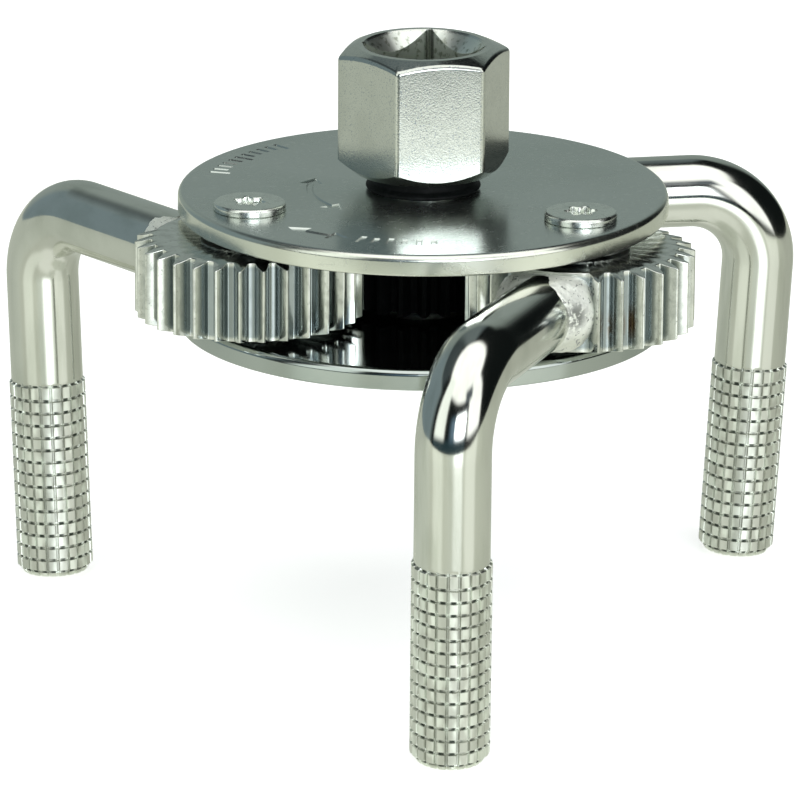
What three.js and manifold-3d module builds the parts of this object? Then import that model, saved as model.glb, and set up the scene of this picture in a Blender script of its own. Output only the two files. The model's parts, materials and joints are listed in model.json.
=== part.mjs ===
// Two-way three-leg oil filter wrench.
// A hexagon head with a square socket turns a sun gear between two round plates. Three leg gears mesh
// with it, and each carries a bent rod whose knurled end closes on the filter, either way round.
// Millimetres, +Z up. The origin is the centre of the socket's floor, on the drive axis.
import * as THREE from "three";
import { mergeVertices } from "three/addons/utils/BufferGeometryUtils.js";
import Module from "manifold-3d";

const wasm = await Module();
wasm.setup();

// Clearances
const SET_GAP = 0.3; // between pieces that are fixed to each other

// Plates
const PLATE_TOP_Z = -7.5;
const PLATE_R = 35;
const PLATE_T = 3;
const PLATE_EDGE = 0.45; // bevel on the rims
const PLATE_SPACE = 13.5;
const PLATE_SEGMENTS = 72;
const UPPER_FACE_Z = PLATE_TOP_Z - PLATE_T; // underside of the top plate
const LOWER_FACE_Z = UPPER_FACE_Z - PLATE_SPACE; // top of the bottom plate
const BASE_Z = LOWER_FACE_Z - PLATE_T; // underside of the bottom plate

// Gears
const MODULE = 1;
const LEG_TEETH = 30;
const SUN_TEETH = 24;
const PRESSURE_ANGLE = THREE.MathUtils.degToRad(20);
const BACKLASH = 0.22; // taken off each tooth's thickness at the pitch circle
const LEG_TIP_R = 16.25;
const LEG_ROOT_R = 13.75;
const SUN_TIP_R = 12.9;
const SUN_ROOT_R = 10.5;
const GEAR_TOP_Z = UPPER_FACE_Z - 1;
const GEAR_T = 11.5;
const GEAR_CHAMFER = 0.6; // turned chamfer on the ends of the teeth
const BARE_SECTOR = THREE.MathUtils.degToRad(29); // half of the toothless sector that takes the weld
const SUN_PHASE = THREE.MathUtils.degToRad(6); // turn of the sun gear's teeth at rest

// Pivots, at the gears' centre distance
const PIVOT_R = (MODULE * (LEG_TEETH + SUN_TEETH)) / 2;
const PIVOT_ANGLES = [45, 165, 285].map(THREE.MathUtils.degToRad);
const SCREW_HEAD_R = 5.15;
const SCREW_HEAD_H = 1.2;
const SCREW_R = 3;
const SCREW_END_H = 0.8; // what stands below the bottom plate
const LOBE_R = 2.4; // six-lobe recess
const LOBE_DEPTH = 0.8;
const SLEEVE_R = 3.98;
const SLEEVE_BORE_R = SCREW_R + SET_GAP;
const GEAR_BORE_R = 4.05;
const WASHER_R = 7;
const WASHER_BORE_R = 4.4;
const WASHER_T = 0.4;

// Legs
// Each arm's direction from the outward radius at rest. The third is welded on a little further round.
const ARM_TURNS = [-74.6, -74.6, -76.6].map(THREE.MathUtils.degToRad);
const ARM_LENGTH = 48.75; // pivot to the leg's axis, at the arm's height
const ARM_Z = PLATE_TOP_Z - 9.5;
const ROD_R = 5.3;
const ROD_START = 15.2;
const BEND_R = 10.6;
const LEG_DROP = 55.7; // arm's axis to the leg's end
const GRIP_LENGTH = 29.1;
const GRIP_R = 5.6;
const GRIP_EDGE = 0.5;
const LEG_LEAN = 0.057; // the bend is a little more than square, so the leg leans inwards
const LEG_SIDE_LEAN = [0, 0, -0.026];
const BEAD_R = 7.6;
const BEAD_GROWTH = 1.022; // of the gear's outline, for the bead's gap to the teeth's tips and roots
const BEAD_TURN = 1.3; // degrees either way, for its gap to their flanks

// Drive
const HEX_FLATS = 21.8;
const HEX_TOP_Z = 13.7;
const HEX_BOTTOM_Z = PLATE_TOP_Z + 2.9;
const HEX_TURN = THREE.MathUtils.degToRad(-27.5); // a corner's direction
const HEX_TOP_CHAMFER = 0.42; // rise per millimetre of radius
const HEX_BOTTOM_CHAMFER = 0.8;
const HEX_TOP_R = 9.6;
const HEX_BOTTOM_R = 9.9;
const SOCKET_SIDE = 12.8;
const SOCKET_LEAD_R = 8.7;
const SPINDLE_R = 6.45;
const SPINDLE_HOLE_R = 6.54;
const JOURNAL_R = 5.0;
const JOURNAL_HOLE_R = 5.08;
const JOURNAL_LENGTH = 3.9; // below the bottom plate
const COLLAR_R = 7.3;
const COLLAR_FOOT_R = 8.2;
const SPINDLE_WASHER_R = 9;
const SPINDLE_WASHER_T = 0.8;
const RING_R = 7.2;
const RING_BORE_R = 4.65;
const RING_T = 1;
const RING_GROOVE_R = 4.3;
const RING_OPENING = THREE.MathUtils.degToRad(28); // half of the gap in the snap ring

// Materials
const metal = (color, roughness, metalness = 1) => new THREE.MeshStandardMaterial({ color, roughness, metalness });
const plateSteel = () => metal(0x9aa39d, 0.32);
const plating = () => metal(0xb9beb8, 0.22);
const headSteel = () => metal(0xb3b5a6, 0.3);
const blackOxide = () => metal(0x15181a, 0.45, 0.8);
const weldSteel = () => metal(0xa9aca4, 0.5);
const blackPolymer = () => metal(0x0d0f10, 0.55, 0);

// Solids

// A closed three.js geometry as a manifold solid.
function solid(geometry) {
  const bare = geometry.index ? geometry.toNonIndexed() : geometry.clone();
  bare.deleteAttribute("normal");
  bare.deleteAttribute("uv");
  const merged = mergeVertices(bare, 1e-4);
  return new wasm.Manifold(
    new wasm.Mesh({
      numProp: 3,
      vertProperties: merged.attributes.position.array,
      triVerts: new Uint32Array(merged.index.array),
    }),
  );
}

// A manifold solid as a geometry with flat faces.
function geometryOf(body) {
  const mesh = body.getMesh();
  const geometry = new THREE.BufferGeometry();
  geometry.setAttribute("position", new THREE.BufferAttribute(mesh.vertProperties, 3));
  geometry.setIndex(new THREE.BufferAttribute(mesh.triVerts, 1));
  const flat = geometry.toNonIndexed();
  flat.computeVertexNormals();
  return flat;
}

// A turned solid about Z. The profile's [radius, z] points run anticlockwise, from the axis or closed.
function turned(profile, segments) {
  const geometry = new THREE.LatheGeometry(
    profile.map(([r, z]) => new THREE.Vector2(r, z)),
    segments,
  );
  return solid(geometry.rotateX(Math.PI / 2));
}

const disc = (r, low, high, segments) =>
  turned(
    [
      [0, low],
      [r, low],
      [r, high],
      [0, high],
    ],
    segments,
  );

const ring = (outer, inner, low, high, segments) =>
  turned(
    [
      [inner, low],
      [outer, low],
      [outer, high],
      [inner, high],
      [inner, low],
    ],
    segments,
  );

// An upright prism from a closed outline of [x, y] points.
function prism(outline, low, high) {
  const shape = new THREE.Shape(outline.map(([x, y]) => new THREE.Vector2(x, y)));
  const geometry = new THREE.ExtrudeGeometry(shape, { depth: high - low, bevelEnabled: false });
  return solid(geometry.translate(0, 0, low));
}

const polar = (r, angle) => [r * Math.cos(angle), r * Math.sin(angle)];

const polygon = (sides, r, turn) => Array.from({ length: sides }, (_, i) => polar(r, turn + (i * 2 * Math.PI) / sides));

// Gear outline with involute flanks. Teeth inside the bare sector about angle 0 are left out.
function gearOutline(teeth, rootR, tipR, phase, bareSector = 0) {
  const pitchR = (MODULE * teeth) / 2;
  const baseR = pitchR * Math.cos(PRESSURE_ANGLE);
  const involute = (a) => Math.tan(a) - a;
  const halfAngle = (r) =>
    Math.PI / (2 * teeth) +
    involute(PRESSURE_ANGLE) -
    involute(Math.acos(Math.min(1, baseR / r))) -
    BACKLASH / (2 * pitchR);
  const flank = [rootR, pitchR, tipR].map((r) => [r, halfAngle(Math.max(r, baseR))]);
  const outline = [];
  for (let i = 0; i < teeth; i += 1) {
    const centre = phase + (i * 2 * Math.PI) / teeth;
    const offset = Math.abs(Math.atan2(Math.sin(centre), Math.cos(centre)));
    if (offset < bareSector) {
      outline.push(polar(rootR, centre));
    } else {
      flank.forEach(([r, half]) => outline.push(polar(r, centre - half)));
      [...flank].reverse().forEach(([r, half]) => outline.push(polar(r, centre + half)));
    }
  }
  return outline;
}

// Bent bar's centre line: arm along +X, a round bend, then the leg. Stations crowd into the bend.
class BarCurve extends THREE.Curve {
  constructor(sideLean) {
    super();
    const arm = new THREE.Vector3(1, 0, 0);
    const leg = new THREE.Vector3(-LEG_LEAN, sideLean, -1).normalize();
    const corner = new THREE.Vector3(ARM_LENGTH, 0, ARM_Z);
    const turn = arm.angleTo(leg);
    const cut = BEND_R * Math.tan(turn / 2);
    this.start = new THREE.Vector3(ROD_START, 0, ARM_Z);
    this.bendStart = corner.clone().addScaledVector(arm, -cut);
    this.bendEnd = corner.clone().addScaledVector(leg, cut);
    this.end = corner.clone().addScaledVector(leg, (LEG_DROP - 1) / -leg.z);
    this.foot = corner.clone().addScaledVector(leg, LEG_DROP / -leg.z);
    this.arm = arm;
    this.leg = leg;
    this.turn = turn;
    this.inward = leg.clone().addScaledVector(arm, -leg.dot(arm)).normalize();
  }

  getPoint(t, target = new THREE.Vector3()) {
    if (t < 0.1) return target.lerpVectors(this.start, this.bendStart, t / 0.1);
    if (t > 0.9) return target.lerpVectors(this.bendEnd, this.end, (t - 0.9) / 0.1);
    const angle = (this.turn * (t - 0.1)) / 0.8;
    return target
      .copy(this.bendStart)
      .addScaledVector(this.arm, BEND_R * Math.sin(angle))
      .addScaledVector(this.inward, BEND_R * (1 - Math.cos(angle)));
  }

  getTangent(t, target = new THREE.Vector3()) {
    const angle = this.turn * THREE.MathUtils.clamp((t - 0.1) / 0.8, 0, 1);
    return target.copy(this.arm).multiplyScalar(Math.cos(angle)).addScaledVector(this.inward, Math.sin(angle));
  }

  getPointAt(u, target) {
    return this.getPoint(u, target);
  }

  getTangentAt(u, target) {
    return this.getTangent(u, target);
  }
}

// Pieces

const root = new THREE.Group();

function piece(parent, name, body, material) {
  const mesh = new THREE.Mesh(geometryOf(body), material);
  mesh.name = name;
  parent.add(mesh);
}

function plate(topZ, centreHoleR) {
  const low = topZ - PLATE_T;
  let body = turned(
    [
      [0, low],
      [PLATE_R - PLATE_EDGE, low],
      [PLATE_R, low + PLATE_EDGE],
      [PLATE_R, topZ - PLATE_EDGE],
      [PLATE_R - PLATE_EDGE, topZ],
      [0, topZ],
    ],
    PLATE_SEGMENTS,
  );
  body = body.subtract(disc(centreHoleR, low - 1, topZ + 1, 48));
  for (const angle of PIVOT_ANGLES) {
    const [x, y] = polar(PIVOT_R, angle);
    body = body.subtract(disc(SCREW_R + SET_GAP, low - 1, topZ + 1, 20).translate([x, y, 0]));
  }
  return body;
}

function pivotScrew() {
  const headTop = PLATE_TOP_Z + SCREW_HEAD_H;
  const shank = turned(
    [
      [0, BASE_Z - SCREW_END_H],
      [SCREW_R - 0.5, BASE_Z - SCREW_END_H],
      [SCREW_R, BASE_Z - SCREW_END_H + 0.5],
      [SCREW_R, PLATE_TOP_Z],
      [SCREW_HEAD_R, PLATE_TOP_Z],
      [SCREW_HEAD_R, headTop - 0.4],
      [SCREW_HEAD_R - 0.4, headTop],
      [0, headTop],
    ],
    24,
  );
  const lobes = Array.from({ length: 24 }, (_, i) => {
    const angle = (i * Math.PI) / 12;
    return polar(LOBE_R * (0.86 + 0.14 * Math.cos(6 * angle)), angle);
  });
  return shank.subtract(prism(lobes, headTop - LOBE_DEPTH, headTop + 1));
}

function driveHead() {
  const cornerR = HEX_FLATS / Math.sqrt(3);
  const skirt = turned(
    [
      [0, HEX_BOTTOM_Z],
      [HEX_BOTTOM_R, HEX_BOTTOM_Z],
      [cornerR + 1, HEX_BOTTOM_Z + (cornerR + 1 - HEX_BOTTOM_R) * HEX_BOTTOM_CHAMFER],
      [cornerR + 1, HEX_TOP_Z - (cornerR + 1 - HEX_TOP_R) * HEX_TOP_CHAMFER],
      [HEX_TOP_R, HEX_TOP_Z],
      [0, HEX_TOP_Z],
    ],
    60,
  );
  const hexagon = prism(polygon(6, cornerR, HEX_TURN), HEX_BOTTOM_Z - 1, HEX_TOP_Z + 1).intersect(skirt);
  const grooveTop = BASE_Z - 1.2;
  const grooveBottom = grooveTop - RING_T - 0.4;
  const end = BASE_Z - JOURNAL_LENGTH;
  const spindle = turned(
    [
      [0, end],
      [JOURNAL_R - 0.5, end],
      [JOURNAL_R, end + 0.5],
      [JOURNAL_R, grooveBottom],
      [RING_GROOVE_R, grooveBottom],
      [RING_GROOVE_R, grooveTop],
      [JOURNAL_R, grooveTop],
      [JOURNAL_R, LOWER_FACE_Z + 0.5],
      [SPINDLE_R, LOWER_FACE_Z + 0.5],
      [SPINDLE_R, HEX_BOTTOM_Z + 1],
      [0, HEX_BOTTOM_Z + 1],
    ],
    48,
  );
  const side = SOCKET_SIDE / 2;
  const socket = prism(
    [
      [-side, -side],
      [side, -side],
      [side, side],
      [-side, side],
    ],
    0,
    HEX_TOP_Z + 1,
  );
  const lead = turned(
    [
      [0, HEX_TOP_Z - SOCKET_LEAD_R],
      [SOCKET_LEAD_R + 1, HEX_TOP_Z + 1],
      [0, HEX_TOP_Z + 1],
    ],
    60,
  );
  return hexagon.add(spindle).subtract(socket).subtract(lead);
}

function snapRing() {
  const high = BASE_Z - 1.4;
  const low = high - RING_T;
  const wedge = prism([[0, 0], polar(20, -RING_OPENING), polar(20, RING_OPENING)], low - 1, high + 1);
  let body = ring(RING_R, RING_BORE_R, low, high, 40).subtract(wedge);
  for (const side of [-1, 1]) {
    const [x, y] = polar((RING_R + RING_BORE_R) / 2 + 0.7, side * (RING_OPENING + 0.28));
    const lug = disc(1.7, low, high, 20).translate([x, y, 0]);
    const eye = disc(0.75, low - 1, high + 1, 12).translate([x, y, 0]);
    body = body.add(lug.subtract(disc(RING_BORE_R, low - 1, high + 1, 40))).subtract(eye);
  }
  return body;
}

function legGear(outline) {
  const bottom = GEAR_TOP_Z - GEAR_T;
  const outer = LEG_TIP_R + 1;
  const drop = (GEAR_CHAMFER * (outer - LEG_ROOT_R)) / (LEG_TIP_R - LEG_ROOT_R);
  const blank = turned(
    [
      [0, bottom],
      [LEG_ROOT_R, bottom],
      [outer, bottom + drop],
      [outer, GEAR_TOP_Z - drop],
      [LEG_ROOT_R, GEAR_TOP_Z],
      [0, GEAR_TOP_Z],
    ],
    LEG_TEETH,
  );
  return prism(outline, bottom - 1, GEAR_TOP_Z + 1)
    .intersect(blank)
    .subtract(disc(GEAR_BORE_R, bottom - 1, GEAR_TOP_Z + 1, 32));
}

function legRod(curve) {
  const section = new THREE.Shape();
  section.absarc(0, 0, ROD_R, 0, 2 * Math.PI);
  const bar = solid(
    new THREE.ExtrudeGeometry(section, {
      extrudePath: curve,
      steps: 8,
      curveSegments: 18,
      bevelEnabled: false,
    }),
  );
  const grip = new THREE.LatheGeometry(
    [
      [0, 0],
      [GRIP_R - GRIP_EDGE, 0],
      [GRIP_R, GRIP_EDGE],
      [GRIP_R, GRIP_LENGTH - GRIP_EDGE],
      [ROD_R - 0.3, GRIP_LENGTH],
      [0, GRIP_LENGTH],
    ].map(([r, z]) => new THREE.Vector2(r, z)),
    20,
  );
  const up = curve.leg.clone().negate();
  grip.applyQuaternion(new THREE.Quaternion().setFromUnitVectors(new THREE.Vector3(0, 1, 0), up));
  grip.translate(curve.foot.x, curve.foot.y, curve.foot.z);
  return bar.add(solid(grip));
}

function weldBead(outline) {
  const cup = new THREE.LatheGeometry(
    [
      [0, 12],
      [BEAD_R, 12],
      [BEAD_R, 15],
      [BEAD_R - 0.9, 17.2],
      [ROD_R + SET_GAP, 18.6],
      [ROD_R + SET_GAP, ROD_START - SET_GAP],
      [0, ROD_START - SET_GAP],
    ].map(([r, z]) => new THREE.Vector2(r, z)),
    20,
  );
  cup.rotateZ(-Math.PI / 2).translate(0, 0, ARM_Z);
  const low = GEAR_TOP_Z - GEAR_T + 0.1;
  const high = GEAR_TOP_Z - 0.1;
  const slab = new THREE.BoxGeometry(60, 60, high - low).translate(0, 0, (high + low) / 2);
  const grown = outline.map(([x, y]) => [x * BEAD_GROWTH, y * BEAD_GROWTH]);
  const gear = prism(grown, low - 1, high + 1);
  let body = solid(cup).intersect(solid(slab));
  for (const side of [-1, 0, 1]) body = body.subtract(gear.rotate([0, 0, side * BEAD_TURN]));
  return body;
}

// Housing

piece(root, "top_plate", plate(PLATE_TOP_Z, SPINDLE_HOLE_R), plateSteel());
piece(root, "bottom_plate", plate(LOWER_FACE_Z, JOURNAL_HOLE_R), plateSteel());

// Drive

const sunTop = GEAR_TOP_Z;
const sunBottom = GEAR_TOP_Z - GEAR_T;
const sunOutline = gearOutline(SUN_TEETH, SUN_ROOT_R, SUN_TIP_R, PIVOT_ANGLES[0] + SUN_PHASE);
const sunGear = prism(sunOutline, sunBottom, sunTop).subtract(
  disc(SPINDLE_R + SET_GAP, sunBottom - 1, sunTop + 1, 48),
);
const collar = turned(
  [
    [SPINDLE_R + SET_GAP, PLATE_TOP_Z + SET_GAP],
    [COLLAR_FOOT_R, PLATE_TOP_Z + SET_GAP],
    [COLLAR_FOOT_R, PLATE_TOP_Z + 0.7],
    [COLLAR_R, PLATE_TOP_Z + 1.5],
    [COLLAR_R, HEX_BOTTOM_Z - SET_GAP],
    [SPINDLE_R + SET_GAP, HEX_BOTTOM_Z - SET_GAP],
    [SPINDLE_R + SET_GAP, PLATE_TOP_Z + SET_GAP],
  ],
  36,
);
const washerTop = BASE_Z - SET_GAP;
const spindleWasher = ring(SPINDLE_WASHER_R, JOURNAL_R + SET_GAP, washerTop - SPINDLE_WASHER_T, washerTop, 32);

piece(root, "drive_head", driveHead(), headSteel());
piece(root, "neck_collar", collar, blackPolymer());
piece(root, "sun_gear", sunGear, blackOxide());
piece(root, "spindle_washer", spindleWasher, blackOxide());
piece(root, "snap_ring", snapRing(), blackOxide());

// Pivots and legs

PIVOT_ANGLES.forEach((angle, index) => {
  const number = index + 1;
  const [x, y] = polar(PIVOT_R, angle);

  const pivot = new THREE.Group();
  pivot.position.set(x, y, 0);
  root.add(pivot);
  piece(pivot, `pivot_screw_${number}`, pivotScrew(), plating());
  piece(pivot, `pivot_sleeve_${number}`, ring(SLEEVE_R, SLEEVE_BORE_R, LOWER_FACE_Z, UPPER_FACE_Z, 32), blackOxide());

  const armAngle = angle + ARM_TURNS[index];
  const sunTurn = (SUN_PHASE * SUN_TEETH) / LEG_TEETH;
  const meshAngle = angle + Math.PI - sunTurn;
  const leg = new THREE.Group();
  leg.position.set(x, y, 0);
  leg.rotation.z = armAngle;
  root.add(leg);
  const curve = new BarCurve(LEG_SIDE_LEAN[index]);
  // A space between two teeth faces the sun gear's tooth.
  const phase = meshAngle - armAngle + Math.PI / LEG_TEETH;
  const outline = gearOutline(LEG_TEETH, LEG_ROOT_R, LEG_TIP_R, phase, BARE_SECTOR);
  piece(leg, `leg_gear_${number}`, legGear(outline), plating());
  piece(leg, `leg_rod_${number}`, legRod(curve), plating());
  piece(leg, `weld_bead_${number}`, weldBead(outline), weldSteel());
  const topWasher = GEAR_TOP_Z + SET_GAP;
  const bottomWasher = sunBottom - SET_GAP;
  piece(leg, `washer_top_${number}`, ring(WASHER_R, WASHER_BORE_R, topWasher, topWasher + WASHER_T, 20), plating());
  piece(
    leg,
    `washer_bottom_${number}`,
    ring(WASHER_R, WASHER_BORE_R, bottomWasher - WASHER_T, bottomWasher, 20),
    plating(),
  );
});

export default root;
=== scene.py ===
import json
import math

import bmesh
import bpy
from mathutils import Matrix, Vector, noise


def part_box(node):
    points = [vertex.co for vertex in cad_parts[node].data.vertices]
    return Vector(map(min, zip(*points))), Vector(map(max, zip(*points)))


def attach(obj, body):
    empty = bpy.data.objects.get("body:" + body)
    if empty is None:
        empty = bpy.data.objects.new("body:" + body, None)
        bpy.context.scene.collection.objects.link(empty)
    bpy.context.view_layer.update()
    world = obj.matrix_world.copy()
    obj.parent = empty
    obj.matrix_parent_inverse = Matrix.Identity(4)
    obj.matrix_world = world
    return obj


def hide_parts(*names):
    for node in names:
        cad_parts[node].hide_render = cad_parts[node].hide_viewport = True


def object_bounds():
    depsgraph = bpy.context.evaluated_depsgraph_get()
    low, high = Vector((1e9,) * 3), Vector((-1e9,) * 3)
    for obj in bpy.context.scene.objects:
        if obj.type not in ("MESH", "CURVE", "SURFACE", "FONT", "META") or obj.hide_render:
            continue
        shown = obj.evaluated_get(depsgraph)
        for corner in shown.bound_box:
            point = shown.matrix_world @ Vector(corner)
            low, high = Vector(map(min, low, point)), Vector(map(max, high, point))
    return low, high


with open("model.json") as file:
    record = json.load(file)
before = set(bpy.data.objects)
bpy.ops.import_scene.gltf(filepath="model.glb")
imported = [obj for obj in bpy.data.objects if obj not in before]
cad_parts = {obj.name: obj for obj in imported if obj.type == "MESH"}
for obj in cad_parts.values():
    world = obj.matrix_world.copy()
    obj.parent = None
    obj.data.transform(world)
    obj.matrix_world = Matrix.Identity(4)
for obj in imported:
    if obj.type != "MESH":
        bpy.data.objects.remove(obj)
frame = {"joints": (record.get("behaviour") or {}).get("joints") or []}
cad_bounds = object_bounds()

MM = 0.001
TURN = 2 * math.pi


def rad(degrees):
    return degrees * math.pi / 180


def box_mm(node):
    low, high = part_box(node)
    return low / MM, high / MM


# ---------------------------------------------------------------- sizes read off the frame

top_low, top_high = box_mm("top_plate")
base_low, base_high = box_mm("bottom_plate")
gear_low, gear_high = box_mm("leg_gear_1")
head_low, head_high = box_mm("drive_head")

PLATE_R = top_high.x
PLATE_TOP = top_high.z
PLATE_UNDER = top_low.z
BASE_TOP = base_high.z
BASE_UNDER = base_low.z
GEAR_TOP = gear_high.z
GEAR_BOTTOM = gear_low.z
HEAD_TOP = head_high.z
SPINDLE_END = head_low.z

JOINTS = {j["name"]: j for j in frame["joints"]}
PIVOTS = [Vector(JOINTS[f"leg_{k}_swing"]["pos_m"]) / MM for k in (1, 2, 3)]
PIVOT_ANGLES = [math.atan2(p.y, p.x) for p in PIVOTS]
ARM_Z = PIVOTS[0].z

# ---------------------------------------------------------------- sizes the frame doesn't hold

SET_GAP = 0.3
SPINDLE_HOLE_R = 6.54
JOURNAL_HOLE_R = 5.08
SCREW_HOLE_R = 3.3
SCREW_HEAD_TOP = PLATE_TOP + 1.2
SCREW_END = BASE_UNDER - 0.8
SCREW_SHANK_R = 3.0
RECESS_R = 2.4
RECESS_FLOOR = SCREW_HEAD_TOP - 0.8
SLEEVE_BORE_R = 3.3
SLEEVE_R = 3.98

MODULE = 1
LEG_TEETH = 30
SUN_TEETH = 24
PRESSURE_ANGLE = rad(20)
BACKLASH = 0.22
LEG_TIP_R = 16.25
LEG_ROOT_R = 13.75
SUN_TIP_R = 12.9
SUN_ROOT_R = 10.5
GEAR_CHAMFER = 0.6
GEAR_RELIEF = 0.9  # the faces' inner ring, below the roots
LEG_BORE_R = 4.05
THRUST_BORE_R = 4.4
THRUST_R = 7
THRUST_T = 0.4
BARE_SECTOR = rad(29)
SUN_PHASE = rad(6)
ARM_TURNS = [rad(-74.6), rad(-74.6), rad(-76.6)]

HEX_FLATS = 21.8
HEX_TURN = rad(-27.5)
HEX_CORNER_R = 0.9
HEX_BOTTOM = PLATE_TOP + 2.9
HEX_TOP_R = 9.6
HEX_BOTTOM_R = 9.9
HEX_TOP_SLOPE = 0.42
HEX_EDGE_R = 0.85
HEX_BOTTOM_SLOPE = 0.8
SOCKET_SIDE = 12.8
SOCKET_CORNER_R = 0.5
SOCKET_LEAD_R = 8.7
SPINDLE_R = 6.45
JOURNAL_R = 5.0
RING_GROOVE_R = 4.3
RING_GROOVE_TOP = BASE_UNDER - 1.2
RING_GROOVE_BOTTOM = RING_GROOVE_TOP - 1.4
JOURNAL_TOP = BASE_TOP + 0.5
SPINDLE_CHAMFER = 0.5
SPINDLE_WASHER_R = 9
SPINDLE_WASHER_T = 0.8
SNAP_RING_TOP = BASE_UNDER - 1.4
SNAP_RING_T = 1
SNAP_RING_R = 7.15
SNAP_RING_BORE_R = 4.65
SNAP_RING_OPENING = 28  # degrees each way
COLLAR_R = 8.0
COLLAR_NECK_R = 7.3

ARM_LENGTH = 48.75
ROD_R = 5.28
ROD_START = 15.2
BEND_R = 10.6
LEG_DROP = 55.7
LEG_LEAN = 0.057
LEG_SIDE_LEAN = [0, 0, -0.026]
GRIP_LENGTH = 29.1
GRIP_R = 5.6
KNURL_COLUMNS = 22

# ---------------------------------------------------------------- mesh building


def place(piece, body, nodes, matrix=None):
    """Puts a piece in the row frame, on its body, in the stead of its CAD nodes.
    Its own coordinates are kept first."""
    mesh = piece.data
    keep_local(mesh)
    if matrix is not None:
        mesh.transform(matrix)
    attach(piece, body)
    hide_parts(*nodes)
    return piece


def mesh_in_metres(name, verts, faces):
    mesh = bpy.data.meshes.new(name)
    mesh.from_pydata([(x * MM, y * MM, z * MM) for x, y, z in verts], [], faces)
    return mesh


def turn_outwards(mesh, merge=False):
    """Makes every face look outwards, after joining points that coincide where asked."""
    editor = bmesh.new()
    editor.from_mesh(mesh)
    if merge:
        bmesh.ops.remove_doubles(editor, verts=editor.verts, dist=1e-7)
    bmesh.ops.recalc_face_normals(editor, faces=editor.faces)
    editor.to_mesh(mesh)
    editor.free()


def linked_object(name, data):
    made = bpy.data.objects.new(name, data)
    bpy.context.scene.collection.objects.link(made)
    return made


def keep_local(mesh):
    """Holds the points' own coordinates in the attribute "local", for the grain to follow."""
    held = mesh.attributes.new("local", "FLOAT_VECTOR", "POINT")
    held.data.foreach_set("vector", [c for v in mesh.vertices for c in v.co])


def even_normals(piece):
    """Weights the normals by face area, and keeps the sharp edges."""
    even = piece.modifiers.new("even_normals", "WEIGHTED_NORMAL")
    even.mode = "FACE_AREA"
    even.keep_sharp = True


def new_piece(name, verts, faces, material, bevel=0.0, bevel_angle=30, segments=2, smooth_angle=35):
    """A mesh from millimetre points, with softened edges and smooth shading."""
    mesh = mesh_in_metres(name, verts, faces)
    turn_outwards(mesh, merge=True)
    mesh.shade_smooth()
    piece = linked_object(name, mesh)
    mesh.materials.append(material)
    if bevel:
        edges = piece.modifiers.new("edges", "BEVEL")
        edges.width = bevel * MM
        edges.segments = segments
        edges.limit_method = "ANGLE"
        edges.angle_limit = rad(bevel_angle)
        edges.use_clamp_overlap = True
    if smooth_angle:
        if not bevel:
            mesh.set_sharp_from_angle(angle=rad(smooth_angle))
        even_normals(piece)
    return piece


def rings_mesh(rings, closed=False, cap_start=False, cap_end=False):
    """Quads between rings of equal length.
    Closed joins the last ring to the first, and a cap fans to its centre."""
    count = len(rings[0])
    verts = [point for ring in rings for point in ring]
    faces = []
    spans = len(rings) if closed else len(rings) - 1
    for i in range(spans):
        a, b = i * count, ((i + 1) % len(rings)) * count
        for j in range(count):
            k = (j + 1) % count
            faces.append((a + j, a + k, b + k, b + j))
    for wanted, index in ((cap_start, 0), (cap_end, len(rings) - 1)):
        if wanted:
            ring = rings[index]
            centre = [sum(p[axis] for p in ring) / count for axis in range(3)]
            verts.append(tuple(centre))
            hub = len(verts) - 1
            first = index * count
            faces.extend((first + j, first + (j + 1) % count, hub) for j in range(count))
    return verts, faces


def circle(radius, z, angles):
    return [(radius * math.cos(a), radius * math.sin(a), z) for a in angles]


def even_angles(count):
    return [TURN * i / count for i in range(count)]


def lathe(profile, count, closed=True, **caps):
    """A turned shape about Z from [radius, z] points."""
    return rings_mesh([circle(r, z, even_angles(count)) for r, z in profile], closed=closed, **caps)


def rounded(centre_r, centre_z, radius, start, end, steps=6):
    """Profile points round an edge, by angle in degrees in the radius-z plane."""
    return [
        (
            centre_r + radius * math.cos(rad(start + (end - start) * i / steps)),
            centre_z + radius * math.sin(rad(start + (end - start) * i / steps)),
        )
        for i in range(steps + 1)
    ]


def cut(piece, *tools):
    """Subtracts closed meshes from a piece, and leaves plain geometry."""
    for tool in tools:
        step = piece.modifiers.new("cut", "BOOLEAN")
        step.operation = "DIFFERENCE"
        step.solver = "EXACT"
        step.object = tool
    bpy.context.view_layer.update()
    result = bpy.data.meshes.new_from_object(piece.evaluated_get(bpy.context.evaluated_depsgraph_get()))
    piece.modifiers.clear()
    piece.data = result
    for tool in tools:
        bpy.data.objects.remove(tool)


def tool_mesh(name, verts, faces):
    """A closed mesh in millimetres, used only to cut."""
    mesh = mesh_in_metres(name, verts, faces)
    turn_outwards(mesh)
    return linked_object(name, mesh)


# ---------------------------------------------------------------- materials


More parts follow.
